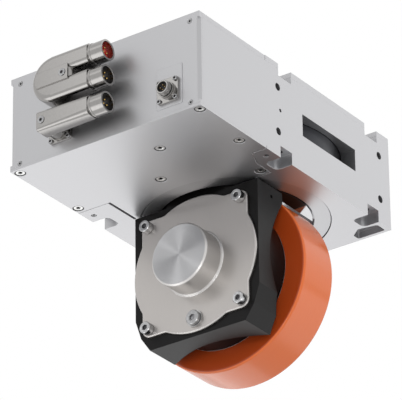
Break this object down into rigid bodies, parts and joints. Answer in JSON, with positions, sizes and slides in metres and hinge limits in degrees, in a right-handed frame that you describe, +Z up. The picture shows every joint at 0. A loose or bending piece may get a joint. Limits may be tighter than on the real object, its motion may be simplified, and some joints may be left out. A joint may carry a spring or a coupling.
{
  "type": "agv drive wheel unit",
  "caption": "Steered drive wheel unit: flat milled housing with a turntable, black gearbox and orange polyurethane wheel below, cable connectors on the front.",
  "frame": {"origin": "centre of the four vehicle bolts, on the upright steering axis, in the plane of the bolt seats", "axes": "+Z up along the steering axis, +Y to the rear, away from the connectors, +X to the right seen from the connectors' side"},
  "size_m": [0.24, 0.3778, 0.288],
  "materials": {
    "anodised_aluminium": "fine blasted and clear anodised",
    "stainless_steel": "brushed",
    "black_casting": "satin black paint on a casting",
    "polyurethane": "turned, semi-gloss",
    "wheel_aluminium": "turned",
    "dark_steel": "black oxide",
    "screw_steel": "bright zinc",
    "gear_steel": "ground",
    "bearing_steel": "ground",
    "nickel": "matt nickel plate",
    "red_insert": "moulded",
    "black_insert": "moulded",
    "gold_pins": "plated",
    "motor_paint": "satin",
    "circuit_board": "solder mask",
    "seal_rubber": "moulded"
  },
  "bodies": {
    "housing": {"main_housing": "anodised_aluminium", "front_panel": "anodised_aluminium", "panel_screws": "screw_steel", "bottom_cover": "anodised_aluminium", "bottom_cover_screws": "screw_steel", "lug_screws": "screw_steel", "front_top_cover": "anodised_aluminium", "top_cover_screws": "screw_steel", "rear_top_plate": "anodised_aluminium", "rear_plate_screws": "screw_steel", "twin_connector": "nickel", "single_connector": "nickel", "connector_insert_1": "red_insert", "connector_insert_2": "black_insert", "connector_insert_3": "black_insert", "connector_pins": "gold_pins", "round_connector": "nickel", "round_connector_insert": "black_insert", "connector_screws": "screw_steel", "steering_motor": "motor_paint", "drive_motor": "motor_paint", "control_board": "circuit_board", "board_standoffs": "screw_steel", "turntable_bearing_outer": "bearing_steel", "sun_bearing_top": "bearing_steel"},
    "turntable": {"turntable": "anodised_aluminium", "turntable_bearing_inner": "bearing_steel", "steering_ring": "dark_steel", "steering_ring_bolts": "screw_steel", "gearbox_housing": "black_casting", "gearbox_bolts": "screw_steel", "gearbox_cover": "stainless_steel", "gearbox_cover_screws": "screw_steel", "plug_washer": "screw_steel", "plug_screw": "screw_steel", "axle_bearing_front": "bearing_steel", "axle_bearing_rear": "bearing_steel", "axle_seal": "seal_rubber", "shaft_bearings": "bearing_steel", "sun_bearing_bottom": "bearing_steel"},
    "roller_set": {"bearing_rollers": "bearing_steel"},
    "steering_output": {"steering_pinion": "gear_steel"},
    "drive_output": {"drive_pinion": "gear_steel"},
    "drive_shaft": {"pinion_shaft": "gear_steel", "planet_gear": "gear_steel"},
    "drive_gear": {"sun_shaft": "gear_steel", "drive_ring": "gear_steel"},
    "wheel": {"axle": "gear_steel", "bevel_gear": "gear_steel", "wheel_rim": "wheel_aluminium", "tyre": "polyurethane", "wheel_bolts": "screw_steel"}
  },
  "joints": [
    {"name": "steer", "type": "hinge", "parent": "housing", "child": "turntable", "pos_m": [0, 0, -0.078], "axis": [0, 0, 1], "continuous": true},
    {"name": "roller_orbit", "type": "hinge", "parent": "housing", "child": "roller_set", "pos_m": [0, 0, -0.078], "axis": [0, 0, 1], "continuous": true},
    {"name": "steering_output_spin", "type": "hinge", "parent": "housing", "child": "steering_output", "pos_m": [-0.054, -0.13994, -0.02], "axis": [0, 0, 1], "continuous": true},
    {"name": "drive_output_spin", "type": "hinge", "parent": "housing", "child": "drive_output", "pos_m": [0.054, -0.13994, -0.005], "axis": [0, 0, 1], "continuous": true},
    {"name": "wheel_spin", "type": "hinge", "parent": "turntable", "child": "wheel", "pos_m": [0, 0.0045, -0.174], "axis": [0, 1, 0], "continuous": true},
    {"name": "drive_shaft_spin", "type": "hinge", "parent": "turntable", "child": "drive_shaft", "pos_m": [0, -0.051, -0.1], "axis": [0, 0, 1], "continuous": true},
    {"name": "drive_gear_spin", "type": "hinge", "parent": "turntable", "child": "drive_gear", "pos_m": [0, 0, -0.03], "axis": [0, 0, 1], "continuous": true}
  ],
  "couplings": [
    {"joint": "roller_orbit", "follows": "steer", "ratio": 0.488},
    {"joint": "steering_output_spin", "follows": "steer", "ratio": -2.3333},
    {"joint": "drive_shaft_spin", "follows": "wheel_spin", "ratio": 2},
    {"joint": "drive_gear_spin", "follows": "wheel_spin", "ratio": -1.0909},
    {"joint": "drive_output_spin", "follows": "wheel_spin", "ratio": 2.4242}
  ]
}
